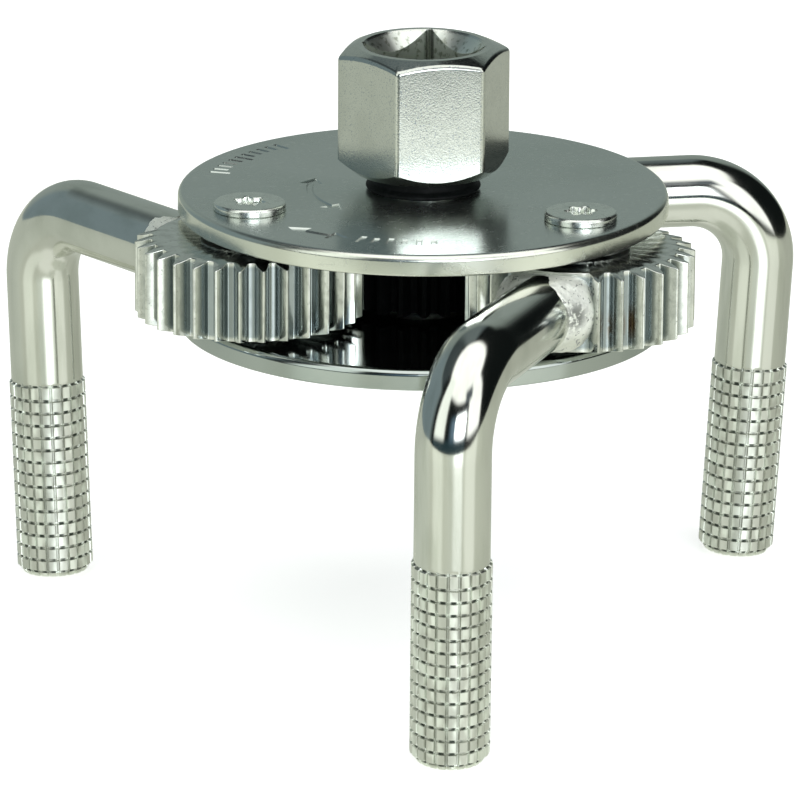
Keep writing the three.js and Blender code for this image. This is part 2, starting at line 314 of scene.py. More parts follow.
class Finish:
    """A metal or plastic finish with grain, tints and roughness from its own nodes; some tints are painted
    light and shade.
    """

    def __init__(self, name, color, roughness, metallic=1.0, specular=0.5):
        self.material = bpy.data.materials.new(name)
        self.material.use_nodes = True
        self.nodes = self.material.node_tree.nodes
        self.links = self.material.node_tree.links
        self.shader = self.nodes["Principled BSDF"]
        self.shader.inputs["Metallic"].default_value = metallic
        self.shader.inputs["Specular IOR Level"].default_value = specular
        self.coordinates = self.nodes.new("ShaderNodeAttribute")
        self.coordinates.attribute_name = "local"
        self.coordinates = self.coordinates.outputs["Vector"]
        self.color = self.rgb(color)
        self.roughness = roughness
        self.height = None

    def rgb(self, color):
        return (*color, 1)

    def noise(self, scale, detail=3.0, stretch=(1, 1, 1), distortion=0.0):
        """Noise with this many waves per millimetre, stretched along an axis by a factor below 1."""
        mapping = self.nodes.new("ShaderNodeMapping")
        mapping.inputs["Scale"].default_value = [s / MM for s in stretch]
        self.links.new(self.coordinates, mapping.inputs["Vector"])
        texture = self.nodes.new("ShaderNodeTexNoise")
        texture.inputs["Scale"].default_value = scale
        texture.inputs["Detail"].default_value = detail
        texture.inputs["Distortion"].default_value = distortion
        self.links.new(mapping.outputs["Vector"], texture.inputs["Vector"])
        return texture.outputs["Fac"]

    def ramp(self, source, low, high, start=0.0, end=1.0):
        """Maps a value from low..high to start..end, smoothly and held at the ends."""
        node = self.nodes.new("ShaderNodeMapRange")
        node.interpolation_type = "SMOOTHSTEP"
        node.inputs["From Min"].default_value = low
        node.inputs["From Max"].default_value = high
        node.inputs["To Min"].default_value = start
        node.inputs["To Max"].default_value = end
        self.links.new(source, node.inputs["Value"])
        return node.outputs["Result"]

    def away(self, centre=(0, 0, 0), flatten=(1, 1, 1)):
        """Distance in millimetres from a point of the piece, along the kept axes."""
        mapping = self.nodes.new("ShaderNodeMapping")
        mapping.inputs["Scale"].default_value = [f / MM for f in flatten]
        mapping.inputs["Location"].default_value = [-c * f for c, f in zip(centre, flatten)]
        self.links.new(self.coordinates, mapping.inputs["Vector"])
        length = self.nodes.new("ShaderNodeVectorMath")
        length.operation = "LENGTH"
        self.links.new(mapping.outputs["Vector"], length.inputs[0])
        return length.outputs["Value"]

    def both(self, first, second):
        """A mask that is 1 where both masks are."""
        node = self.nodes.new("ShaderNodeMath")
        node.operation = "MULTIPLY"
        self.links.new(first, node.inputs[0])
        self.links.new(second, node.inputs[1])
        return node.outputs["Value"]

    def attribute(self, name):
        node = self.nodes.new("ShaderNodeAttribute")
        node.attribute_name = name
        return node.outputs["Fac"]

    def _feed(self, value, socket):
        if isinstance(value, bpy.types.NodeSocket):
            self.links.new(value, socket)
        else:
            socket.default_value = value

    def tint(self, mask, color):
        """Mixes another colour in where the mask is 1."""
        node = self.nodes.new("ShaderNodeMix")
        node.data_type = "RGBA"
        self.links.new(mask, node.inputs["Factor"])
        self._feed(self.color, node.inputs["A"])
        node.inputs["B"].default_value = self.rgb(color)
        self.color = node.outputs["Result"]
        return self

    def roughen(self, mask, roughness):
        """Moves the roughness to another value where the mask is 1."""
        node = self.nodes.new("ShaderNodeMix")
        self.links.new(mask, node.inputs["Factor"])
        self._feed(self.roughness, node.inputs["A"])
        node.inputs["B"].default_value = roughness
        self.roughness = node.outputs["Result"]
        return self

    def bump(self, source, depth):
        """Adds relief of this many millimetres."""
        node = self.nodes.new("ShaderNodeBump")
        node.inputs["Strength"].default_value = 1.0
        node.inputs["Distance"].default_value = depth * MM
        self.links.new(source, node.inputs["Height"])
        if self.height is not None:
            self.links.new(self.height, node.inputs["Normal"])
        self.height = node.outputs["Normal"]
        return self

    def done(self):
        self._feed(self.color, self.shader.inputs["Base Color"])
        self._feed(self.roughness, self.shader.inputs["Roughness"])
        if self.height is not None:
            self.links.new(self.height, self.shader.inputs["Normal"])
        return self.material


def plate_finish():
    f = Finish("satin_plate", (0.61, 0.645, 0.62), 0.2)
    cloud = f.noise(0.05, 4)
    f.tint(f.ramp(cloud, 0.35, 0.7), (0.565, 0.61, 0.58))
    f.tint(f.ramp(f.noise(1.3, 2), 0.56, 0.74), (0.68, 0.71, 0.68))
    f.roughen(f.ramp(cloud, 0.3, 0.75), 0.31)
    f.roughen(f.ramp(f.noise(0.35, 5, distortion=1.5), 0.5, 0.85), 0.34)
    # The outer rim is tinted lighter and beige: partly the burnished cut edge's own tone, partly a painted
    # reflection of the paper floor.
    rim = f.ramp(f.away(flatten=(1, 1, 0)), PLATE_R - 0.6, PLATE_R - 0.3)
    f.tint(rim, (0.77, 0.79, 0.71))
    f.bump(f.noise(3.5, 3), 0.0012)
    f.bump(f.noise(0.28, 2), 0.006)
    return f.done()


def inner_finish():
    f = Finish("bright_plate", (0.5, 0.54, 0.52), 0.11)
    cloud = f.noise(0.08, 4)
    f.tint(f.ramp(cloud, 0.4, 0.7), (0.44, 0.49, 0.47))
    f.roughen(f.ramp(cloud, 0.35, 0.7), 0.17)
    f.bump(f.noise(0.22, 2), 0.008)
    f.bump(f.noise(3.0, 2), 0.0008)
    return f.done()


def rod_finish():
    f = Finish("bright_rod", (0.74, 0.75, 0.7), 0.1)
    streak = f.noise(0.5, 4, stretch=(0.3, 1, 0.12))
    f.tint(f.ramp(streak, 0.42, 0.72), (0.64, 0.655, 0.6))
    f.roughen(f.ramp(f.noise(0.18, 4), 0.4, 0.75), 0.14)
    f.roughen(f.ramp(streak, 0.55, 0.8), 0.16)
    f.bump(f.noise(0.16, 2), 0.010)
    f.bump(f.noise(1.6, 3), 0.0012)
    groove = f.attribute("groove")
    pad = f.attribute("pad")
    f.roughen(f.ramp(pad, 0.05, 0.2), 0.3)
    f.tint(f.ramp(pad, 0.4, 1.0), (0.97, 1.0, 0.94))
    # Painted shade: the knurl's grooves are darkened where the pads' edges would shade them; their higher
    # roughness is real.
    f.tint(f.ramp(groove, 0.25, 1.0), (0.075, 0.09, 0.075))
    f.roughen(f.ramp(groove, 0.25, 1.0), 0.5)
    return f.done()


def gear_finish():
    f = Finish("plated_gear", (0.74, 0.755, 0.715), 0.13)
    mottle = f.noise(0.6, 5)
    f.tint(f.ramp(mottle, 0.42, 0.7), (0.62, 0.635, 0.6))
    f.tint(f.ramp(f.noise(2.2, 3), 0.6, 0.78), (0.4, 0.41, 0.39))
    # Painted shade: the tooth valleys are darkened from the tips down to the roots, on the flanks only, away
    # from the gear's ends.
    valley_shade = f.ramp(f.away(flatten=(1, 1, 0)), LEG_ROOT_R + 0.2, LEG_TIP_R - 0.15, 1.0, 0.0)
    mid = f.ramp(f.away((0, 0, (GEAR_TOP + GEAR_BOTTOM) / 2), (0, 0, 1)), 4.9, 5.55, 1.0, 0.0)
    f.tint(f.both(valley_shade, mid), (0.34, 0.38, 0.39))
    burn = f.ramp(f.away((10.2, 9.3, GEAR_BOTTOM + 3.6), (1, 1, 0.42)), 0.7, 1.7, 1.0, 0.0)
    f.tint(f.both(burn, f.ramp(f.noise(0.8, 3), 0.32, 0.46)), (0.15, 0.085, 0.03))
    f.roughen(f.ramp(mottle, 0.4, 0.7), 0.2)
    f.bump(f.noise(1.7, 2), 0.0006)
    return f.done()


def weld_finish():
    # Painted light: the weld is coloured near white as a painted highlight, and tinted beige towards the
    # gear's bottom as a painted reflection of the paper floor.
    f = Finish("weld_metal", (0.92, 0.94, 0.87), 0.45, metallic=0.45)
    f.tint(f.ramp(f.away((0, 0, GEAR_BOTTOM), (0, 0, 1)), 2.2, 5.2, 1.0, 0.0), (0.6, 0.62, 0.53))
    f.tint(f.ramp(f.noise(0.35, 3), 0.5, 0.75), (0.74, 0.76, 0.68))
    crater = f.ramp(f.away((17.0, 5.3, ARM_Z + 0.5)), 0.9, 2.9, 1.0, 0.0)
    f.tint(f.both(crater, f.ramp(f.noise(1.3, 4), 0.4, 0.54)), (0.26, 0.27, 0.25))
    f.tint(f.ramp(f.noise(1.5, 4, distortion=0.8), 0.6, 0.68), (0.28, 0.29, 0.27))
    # Painted shade: a near-black spot in the crater stands for the shade of a hole that the mesh doesn't
    # have.
    f.tint(f.ramp(f.away((17.4, 5.0, ARM_Z + 0.1)), 0.35, 0.8, 1.0, 0.0), (0.05, 0.035, 0.015))
    f.roughen(f.ramp(f.noise(0.5, 4), 0.4, 0.7), 0.36)
    f.bump(f.noise(0.8, 4), 0.14)
    f.bump(f.noise(2.2, 3), 0.03)
    return f.done()


def head_finish():
    f = Finish("grained_head", (0.63, 0.65, 0.605), 0.14)
    grain = f.noise(4.4, 1)
    inside = f.ramp(f.away(flatten=(1, 1, 0)), SOCKET_LEAD_R - 0.5, SOCKET_LEAD_R, 1.0, 0.0)
    f.tint(f.ramp(f.noise(0.25, 4), 0.4, 0.7), (0.58, 0.6, 0.555))
    f.tint(f.ramp(f.noise(5.2, 1), 0.62, 0.68), (0.4, 0.44, 0.46))
    # Painted light: the socket and its lead-in are tinted lighter than the rest of the head, standing in for
    # the light bounced into the socket; the mottle and roughness inside are the finish's own.
    f.tint(inside, (0.8, 0.84, 0.78))
    f.tint(f.both(inside, f.ramp(f.noise(1.1, 4), 0.5, 0.66)), (0.42, 0.45, 0.38))
    f.roughen(f.ramp(grain, 0.4, 0.65), 0.2)
    f.roughen(inside, 0.33)
    f.bump(grain, 0.008)
    f.bump(f.noise(0.12, 2), 0.012)
    return f.done()


def screw_finish():
    f = Finish("plated_screw", (0.78, 0.81, 0.76), 0.2)
    f.tint(f.ramp(f.noise(1.2, 4), 0.45, 0.7), (0.66, 0.69, 0.65))
    f.roughen(f.ramp(f.noise(0.8, 3), 0.4, 0.7), 0.33)
    f.bump(f.noise(1.8, 3), 0.006)
    return f.done()


def oxide_and_shade_finish():
    # Black oxide, made nearly black with almost no sheen, darker than the real finish, as painted shade for
    # the space between the plates.
    f = Finish("black_oxide", (0.003, 0.0035, 0.0035), 0.6, metallic=0.0, specular=0.04)
    f.tint(f.ramp(f.noise(0.7, 4), 0.5, 0.75), (0.006, 0.0065, 0.007))
    f.roughen(f.ramp(f.noise(1.4, 3), 0.4, 0.7), 0.7)
    f.bump(f.noise(2.5, 3), 0.006)
    return f.done()


def polymer_finish():
    f = Finish("black_polymer", (0.004, 0.005, 0.005), 0.5, metallic=0.0, specular=0.1)
    f.tint(f.ramp(f.noise(1.1, 3), 0.5, 0.8), (0.014, 0.015, 0.016))
    f.roughen(f.ramp(f.noise(0.9, 3), 0.4, 0.7), 0.55)
    f.bump(f.noise(3.0, 3), 0.005)
    return f.done()


def washer_finish():
    f = Finish("dull_washer", (0.4, 0.42, 0.4), 0.34)
    f.tint(f.ramp(f.noise(0.9, 4), 0.4, 0.7), (0.28, 0.3, 0.29))
    f.roughen(f.ramp(f.noise(0.6, 3), 0.4, 0.7), 0.5)
    f.bump(f.noise(2.4, 3), 0.005)
    return f.done()


PLATE = plate_finish()
INNER = inner_finish()
ROD = rod_finish()
GEAR = gear_finish()
WELD = weld_finish()
HEAD = head_finish()
SCREW = screw_finish()
OXIDE_AND_SHADE = oxide_and_shade_finish()
POLYMER = polymer_finish()
WASHER = washer_finish()

# ---------------------------------------------------------------- plates

PLATE_COLUMNS = 240
RIM_ROUND = 0.95  # upper edge, drawn down by the press
RIM_BREAK = 0.3  # lower edge
RIM_REACH = 3  # the flat faces' last ring, in from the rim
BORE_BREAK = 0.25


def plate_profile(hole_r, low, high):
    return (
        [(hole_r, low + BORE_BREAK), (hole_r + BORE_BREAK, low), (PLATE_R - RIM_REACH, low)]
        + rounded(PLATE_R - RIM_BREAK, low + RIM_BREAK, RIM_BREAK, -90, 0, 4)
        + rounded(PLATE_R - RIM_ROUND, high - RIM_ROUND, RIM_ROUND, 0, 90, 8)
        + [(PLATE_R - RIM_REACH, high), (hole_r + BORE_BREAK, high), (hole_r, high - BORE_BREAK)]
    )


def column_tool(name, x, y, radius, low, high, count=48):
    verts, faces = lathe([(radius, low), (radius, high)], count, closed=False, cap_start=True, cap_end=True)
    return tool_mesh(name, [(px + x, py + y, pz) for px, py, pz in verts], faces)


STAMP_DEPTH = 0.2
STAMP_TAPER = 0.16


def stamp_tool(name, outline, top):
    """A tapered punch from a closed outline of plate coordinates, wide end up."""
    count = len(outline)
    after = outline[1:] + outline[:1]
    area = sum(ax * by - bx * ay for (ax, ay), (bx, by) in zip(outline, after))
    turn = 1 if area > 0 else -1

    def offset(distance):
        points = []
        for i in range(count):
            (ax, ay), (bx, by), (dx, dy) = outline[i - 1], outline[i], outline[(i + 1) % count]
            u = Vector((bx - ax, by - ay)).normalized()
            v = Vector((dx - bx, dy - by)).normalized()
            n = Vector((u.y + v.y, -u.x - v.x)) * turn
            n = n.normalized() / max(0.5, math.sqrt((1 + u.dot(v)) / 2))
            points.append((bx + n.x * distance, by + n.y * distance))
        return points

    wide, narrow = offset(STAMP_TAPER * 0.5), offset(-STAMP_TAPER)
    verts = [(x, y, top + 0.1) for x, y in wide] + [(x, y, top - STAMP_DEPTH) for x, y in narrow]
    faces = [tuple(range(count)), tuple(range(2 * count - 1, count - 1, -1))]
    faces += [(i, (i + 1) % count, count + (i + 1) % count, count + i) for i in range(count)]
    return tool_mesh(name, verts, faces)


def polar_shape(points):
    """An outline from (radius, angle in degrees) pairs."""
    return [(r * math.cos(rad(a)), r * math.sin(rad(a))) for r, a in points]


def arrow_arc(radius, start, end, steps=10):
    """A curved arrow with a head at each end, for the two directions of turn."""
    width, wing, tip = 1.0, 1.7, math.degrees(3.0 / radius)
    low, high = min(start, end), max(start, end)
    inner_low, inner_high = low + tip, high - tip
    shaft = [inner_low + (inner_high - inner_low) * i / steps for i in range(steps + 1)]
    points = [(radius, low), (radius + wing, inner_low)]
    points += [(radius + width / 2, a) for a in shaft]
    points += [(radius + wing, inner_high), (radius, high), (radius - wing, inner_high)]
    points += [(radius - width / 2, a) for a in reversed(shaft)]
    points += [(radius - wing, inner_low)]
    return polar_shape(points)


def tick(radius, angle, length, width=0.7):
    """A short radial bar."""
    half = math.degrees(width / 2 / radius)
    return polar_shape(
        [(radius - length / 2, angle - half), (radius + length / 2, angle - half),
         (radius + length / 2, angle + half), (radius - length / 2, angle + half)]
    )


def stamps():
    """Two-way arrows and graduation ticks, sunk in the top plate."""
    marks = [arrow_arc(16.2, 121.4, 185.3), arrow_arc(27.9, 187.3, 208.2)]
    for i in range(11):
        long = i % 5 == 0
        marks.append(tick(30.2 if long else 30.6, 93 + i * 3.2, 3.0 if long else 2.2))
    for i in range(6):
        marks.append(tick(27.9, 212 + i * 4.2, 2.2 if i % 2 else 3.0, 0.9))
    return marks


def build_plate(name, hole_r, low, high, material):
    verts, faces = lathe(plate_profile(hole_r, low, high), PLATE_COLUMNS)
    plate = new_piece(name + "_body", verts, faces, material, smooth_angle=0)
    tools = [
        column_tool(f"hole_{i}", p.x, p.y, SCREW_HOLE_R, low - 1, high + 1)
        for i, p in enumerate(PIVOTS)
    ]
    if name == "top_plate":
        tools += [stamp_tool(f"stamp_{i}", outline, high) for i, outline in enumerate(stamps())]
    cut(plate, *tools)
    plate.data.shade_smooth()
    plate.data.set_sharp_from_angle(angle=rad(24))
    even_normals(plate)
    return place(plate, "housing", [name])


build_plate("top_plate", SPINDLE_HOLE_R, PLATE_UNDER, PLATE_TOP, PLATE)
build_plate("bottom_plate", JOURNAL_HOLE_R, BASE_UNDER, BASE_TOP, INNER)

# ---------------------------------------------------------------- head and spindle


def corner_radius(offset, flat, fillet, half):
    """Distance to a regular polygon's rounded outline, at an angle from the nearest corner."""
    offset = abs(offset)
    centre = (flat - fillet) / math.cos(half)
    touch = math.atan2(fillet * math.sin(half), centre + fillet * math.cos(half))
    if offset < touch:
        return centre * math.cos(offset) + math.sqrt(max(0, fillet**2 - (centre * math.sin(offset)) ** 2))
    return flat / math.cos(half - offset)


def from_corner(angle, sides, turn):
    pitch = TURN / sides
    return (angle - turn + pitch / 2) % pitch - pitch / 2


def hex_radius(angle):
    return corner_radius(from_corner(angle, 6, HEX_TURN), HEX_FLATS / 2, HEX_CORNER_R, rad(30))


def socket_radius(angle):
    return corner_radius(from_corner(angle, 4, rad(45)), SOCKET_SIDE / 2, SOCKET_CORNER_R, rad(45))


HEX_STEPS = (0.5, 1, 1.45, 1.9, 2.33, 4, 7, 13, 20, 28)  # degrees either side of a corner
SOCKET_STEPS = (0.65, 1.3, 2)
LEAST_STEP = 0.25
EDGE_RISES = (64, 52, 40, 28, 16, 7, 0)  # degrees round the hexagon's top edge
LEAD_DEPTH = 0.05  # the least depth of the lead-in, at the socket's corners
LEAD_WIDTH = 0.04


def both_ways(steps):
    return [-s for s in reversed(steps)] + [0, *steps]


def head_angles():
    """The head's columns, close together at the corners of hexagon and socket."""
    angles = set()
    for corner in range(6):
        for step in both_ways(HEX_STEPS):
            angles.add(round(math.degrees(HEX_TURN) + corner * 60 + step, 4) % 360)
    for corner in range(4):
        for step in both_ways(SOCKET_STEPS):
            angles.add((45 + corner * 90 + step) % 360)
    kept = []
    for angle in sorted(angles):
        if not kept or angle - kept[-1] > LEAST_STEP:
            kept.append(angle)
    return [rad(a) for a in kept]


def build_head():
    angles = head_angles()

    def ring(radius_of, z_of):
        made = []
        for a in angles:
            r = radius_of(a) if callable(radius_of) else radius_of
            z = z_of(r) if callable(z_of) else z_of
            made.append((r * math.cos(a), r * math.sin(a), z))
        return made

    def edge_ring(rise):
        """One step round the edge between the flats and the top's slope."""
        made = []
        lean = HEX_EDGE_R * math.hypot(1, HEX_TOP_SLOPE)
        for a in angles:
            centre = hex_radius(a) - HEX_EDGE_R
            high = HEAD_TOP - (centre - HEX_TOP_R) * HEX_TOP_SLOPE - lean
            r = centre + HEX_EDGE_R * math.cos(rad(rise))
            made.append((r * math.cos(a), r * math.sin(a), high + HEX_EDGE_R * math.sin(rad(rise))))
        return made

    rings = [
        ring(lambda a: socket_radius(a) * 0.5, 0.0),
        ring(socket_radius, 0.0),
        ring(socket_radius, lambda r: HEAD_TOP - max(LEAD_DEPTH, SOCKET_LEAD_R - r)),
        ring(lambda a: max(SOCKET_LEAD_R, socket_radius(a) + LEAD_WIDTH), HEAD_TOP),
        ring(HEX_TOP_R, HEAD_TOP),
        *[edge_ring(rise) for rise in EDGE_RISES],
        ring(hex_radius, lambda r: HEX_BOTTOM + (r - HEX_BOTTOM_R) * HEX_BOTTOM_SLOPE),
        ring(HEX_BOTTOM_R, HEX_BOTTOM),
        ring(SPINDLE_R, HEX_BOTTOM),
        ring(SPINDLE_R, JOURNAL_TOP),
        ring(JOURNAL_R, JOURNAL_TOP),
        ring(JOURNAL_R, RING_GROOVE_TOP),
        ring(RING_GROOVE_R, RING_GROOVE_TOP),
        ring(RING_GROOVE_R, RING_GROOVE_BOTTOM),
        ring(JOURNAL_R, RING_GROOVE_BOTTOM),
        ring(JOURNAL_R, SPINDLE_END + SPINDLE_CHAMFER),
        ring(JOURNAL_R - SPINDLE_CHAMFER, SPINDLE_END),
    ]
    verts, faces = rings_mesh(rings, cap_start=True, cap_end=True)
    head = new_piece("drive_head_body", verts, faces, HEAD, bevel=0.16, bevel_angle=22, segments=3)
    return place(head, "drive", ["drive_head"])


build_head()


RING_COLUMNS = 96


def ring_piece(name, profile, material, body, node, matrix=None, bevel=0.08):
    verts, faces = lathe(profile, RING_COLUMNS)
    piece = new_piece(name, verts, faces, material, bevel=bevel)
    return place(piece, body, [node], matrix)


bore = SPINDLE_R + SET_GAP
collar_low = PLATE_TOP + SET_GAP
collar_high = HEX_BOTTOM - SET_GAP
ring_piece(
    "neck_collar_body",
    [(bore, collar_low), (COLLAR_R, collar_low)]
    + rounded(COLLAR_R - 0.1, collar_low + 0.35, 0.3, -60, 60, 6)
    + [(COLLAR_NECK_R + 0.15, PLATE_TOP + 1.3), (COLLAR_NECK_R, PLATE_TOP + 1.7)]
    + [(COLLAR_NECK_R, collar_high), (bore, collar_high)],
    POLYMER, "drive", "neck_collar",
)


def flat_ring(inner, outer, low, high):
    """A washer's or a sleeve's profile."""
    return [(inner, low), (outer, low), (outer, high), (inner, high)]


washer_high = BASE_UNDER - SET_GAP
ring_piece(
    "spindle_washer_body",
    flat_ring(JOURNAL_R + SET_GAP, SPINDLE_WASHER_R, washer_high - SPINDLE_WASHER_T, washer_high),
    OXIDE_AND_SHADE, "drive", "spindle_washer", bevel=0.15,
)


EYE_SWELL = 0.85
EYE_AT = 10  # degrees from the opening, the middle of an eye's swelling
EYE_SPREAD = 13
EYE_HOLE_AT = 8
EYE_HOLE_R = 0.75
EYE_HOLE_REACH = 6.6


def build_snap_ring():
    """A split ring with two eyes for the pliers, in the spindle's groove."""
    high = SNAP_RING_TOP
    low = high - SNAP_RING_T
    opening = SNAP_RING_OPENING
    outline = []
    count = 84
    for i in range(count + 1):
        a = opening + (360 - 2 * opening) * i / count
        off = min(a - opening, 360 - opening - a)
        swell = 0.0
        if off < EYE_AT + EYE_SPREAD:
            swell = EYE_SWELL * max(0.0, 1 - ((off - EYE_AT) / EYE_SPREAD) ** 2)
        outline.append((SNAP_RING_R + swell, a))
    outline += [(SNAP_RING_BORE_R, a) for _, a in reversed(outline)]
    points = polar_shape(outline)
    total = len(points)
    verts = [(x, y, low) for x, y in points] + [(x, y, high) for x, y in points]
    faces = [(i, (i + 1) % total, total + (i + 1) % total, total + i) for i in range(total)]
    for i in range(total // 2 - 1):
        j = total - 1 - i
        faces.append((i, i + 1, j - 1, j))
        faces.append((total + i, total + i + 1, total + j - 1, total + j))
    piece = new_piece("snap_ring_body", verts, faces, OXIDE_AND_SHADE, smooth_angle=0)
    eyes = []
    for i, side in enumerate((-1, 1)):
        a = rad(side * (opening + EYE_HOLE_AT))
        x, y = EYE_HOLE_REACH * math.cos(a), EYE_HOLE_REACH * math.sin(a)
        eyes.append(column_tool(f"eye_{i}", x, y, EYE_HOLE_R, low - 1, high + 1, 24))
    cut(piece, *eyes)
    piece.data.shade_smooth()
    piece.data.set_sharp_from_angle(angle=rad(30))
    return place(piece, "drive", ["snap_ring"])


build_snap_ring()

# ---------------------------------------------------------------- gears


def involute(angle):
    return math.tan(angle) - angle


def gear_outline(teeth, root_r, tip_r, phase, bare=0.0):
    """(radius, angle) round a gear with involute flanks and filleted roots."""
    pitch_r = MODULE * teeth / 2
    base_r = pitch_r * math.cos(PRESSURE_ANGLE)
    pitch = TURN / teeth

    def half(r):
        r = max(r, base_r)
        return (
            math.pi / (2 * teeth)
            + involute(PRESSURE_ANGLE)
            - involute(math.acos(min(1, base_r / r)))
            - BACKLASH / (2 * pitch_r)
        )

    depth = tip_r - root_r
    flank = [(root_r, half(root_r) + 0.3 / root_r), (root_r + 0.03 * depth, half(root_r) + 0.14 / root_r)]
    flank += [(root_r + 0.1 * depth, half(root_r) + 0.04 / root_r)]
    flank += [(root_r + s * depth, half(root_r + s * depth)) for s in (0.22, 0.36, 0.5, 0.64, 0.78, 0.9, 1.0)]
    outline = []
    for i in range(teeth):
        centre = phase + i * pitch
        away = abs(math.atan2(math.sin(centre), math.cos(centre)))
        if away < bare:
            outline += [(root_r, centre + pitch * s) for s in (-0.4, -0.2, 0, 0.2, 0.4)]
        else:
            outline += [(r, centre - h) for r, h in flank]
            outline += [(r, centre + h) for r, h in reversed(flank)]
    return outline


def gear_mesh(outline, root_r, tip_r, bore_r, low, high, chamfer):
    def end_drop(r):
        return chamfer * (r - root_r) / (tip_r - root_r) if chamfer else 0.0

    angles = [a for _, a in outline]
    return rings_mesh(
        [
            circle(bore_r, low, angles),
            circle(root_r - GEAR_RELIEF, low, angles),
            [(r * math.cos(a), r * math.sin(a), low + end_drop(r)) for r, a in outline],
            [(r * math.cos(a), r * math.sin(a), high - end_drop(r)) for r, a in outline],
            circle(root_r - GEAR_RELIEF, high, angles),
            circle(bore_r, high, angles),
        ],
        closed=True,
    )


sun_outline = gear_outline(SUN_TEETH, SUN_ROOT_R, SUN_TIP_R, PIVOT_ANGLES[0] + SUN_PHASE)
verts, faces = gear_mesh(sun_outline, SUN_ROOT_R, SUN_TIP_R, bore, GEAR_BOTTOM, GEAR_TOP, 0.0)
# The sun gear's near-black finish is painted shade of the space between the plates.
sun = new_piece("sun_gear_body", verts, faces, OXIDE_AND_SHADE, bevel=0.1, bevel_angle=40)
place(sun, "drive", ["sun_gear"])

# ---------------------------------------------------------------- screws and sleeves


def screw_mesh():
    """A flat round head with a six-lobe recess, on a plain shank."""
    lobes = even_angles(96)
    head_top = SCREW_HEAD_TOP

    def lobe_ring(scale, z):
        made = []
        for a in lobes:
            r = RECESS_R * (0.86 + 0.14 * math.cos(6 * a)) * scale
            made.append((r * math.cos(a), r * math.sin(a), z))
        return made

    rings = [lobe_ring(0.45, RECESS_FLOOR), lobe_ring(0.93, RECESS_FLOOR)]
    rings += [lobe_ring(0.97, head_top - 0.1), lobe_ring(1.02, head_top - 0.01)]
    rim = [(3.3, head_top), (4.3, head_top - 0.015)] + rounded(4.62, head_top - 0.55, 0.53, 88, 0, 7)
    rim += [(5.15, PLATE_TOP + 0.12), (5.05, PLATE_TOP + 0.02), (SCREW_SHANK_R, PLATE_TOP + 0.02)]
    rim += [(SCREW_SHANK_R, SCREW_END + 0.5), (SCREW_SHANK_R - 0.5, SCREW_END)]
    rings += [circle(r, z, lobes) for r, z in rim]
    return rings_mesh(rings, cap_start=True, cap_end=True)


for k, pivot in enumerate(PIVOTS, 1):
    at = Matrix.Translation((pivot.x * MM, pivot.y * MM, 0))
    verts, faces = screw_mesh()
    turn = Matrix.Rotation(rad(17 + 23 * k), 4, "Z")
    screw = new_piece(f"pivot_screw_{k}_body", verts, faces, SCREW, smooth_angle=38)
    place(screw, "housing", [f"pivot_screw_{k}"], at @ turn)
    ring_piece(
        f"pivot_sleeve_{k}_body",
        flat_ring(SLEEVE_BORE_R, SLEEVE_R, BASE_TOP, PLATE_UNDER),
        OXIDE_AND_SHADE, "housing", f"pivot_sleeve_{k}", at,
    )

# ---------------------------------------------------------------- legs

# Shares of a pitch round the grip: groove wall, pad edge, pad, pad, pad edge, groove wall.
COLUMN_STEPS = (0.07, 0.15, 0.35, 0.65, 0.85, 0.93)
# Shares of a pitch along it: groove wall, pad edge, pad, pad edge, groove wall.
ROW_STEPS = (0.065, 0.13, 0.5, 0.87, 0.935)
FIRST_ROW = 2.2
ROW_PITCH = 1.86
ARM_STATIONS = 14
BEND_STATIONS = 40
LEG_STATIONS = 10
LAST_PLAIN = 1.35  # above the grip, in mm
PLAIN_TO_GRIP = (-1.2, -0.6, -0.2)  # close stations just above it
FOOT_MARGIN = 0.1
FOOT_TAPER = 0.18
FOOT_TAPER_ROWS = 3
FOOT_SHRINK = 0.93


def pad_height(part, steps):
    """Height of the knurl across one pitch, 0 in the groove and 1 on the pad."""
    near = min(part, 1 - part)
    return min(1.0, max(0.0, (near - steps[0]) / (steps[1] - steps[0])))


def rod_path(side_lean):
    """(point, tangent, knurl) stations from the gear to the foot. The knurl is None above the grip."""
    arm = Vector((1, 0, 0))
    leg = Vector((-LEG_LEAN, side_lean, -1)).normalized()
    corner = Vector((ARM_LENGTH, 0, ARM_Z))
    turn = arm.angle(leg)
    back = BEND_R * math.tan(turn / 2)
    inward = (leg - arm * leg.dot(arm)).normalized()
    start = Vector((ROD_START, 0, ARM_Z))
    bend_start = corner - arm * back
    bend_end = corner + leg * back
    foot = corner + leg * (LEG_DROP / -leg.z)
    grip_start = foot - leg * GRIP_LENGTH
    stations = [(start.lerp(bend_start, i / ARM_STATIONS), arm, None) for i in range(ARM_STATIONS)]
    for i in range(BEND_STATIONS + 1):
        a = turn * i / BEND_STATIONS
        point = bend_start + arm * (BEND_R * math.sin(a)) + inward * (BEND_R * (1 - math.cos(a)))
        stations.append((point, arm * math.cos(a) + inward * math.sin(a), None))
    plain_end = grip_start - leg * LAST_PLAIN
    for i in range(1, LEG_STATIONS + 1):
        stations.append((bend_end.lerp(plain_end, i / LEG_STATIONS), leg, None))
    stations += [(grip_start + leg * along, leg, None) for along in PLAIN_TO_GRIP]
    stations.append((grip_start, leg, 0.0))
    top, length = 0.0, FIRST_ROW
    while top < GRIP_LENGTH:
        for part in ROW_STEPS:
            if top + part * length < GRIP_LENGTH - FOOT_MARGIN:
                stations.append((grip_start + leg * (top + part * length), leg, part))
        top, length = top + length, ROW_PITCH
    return stations, foot, inward, arm


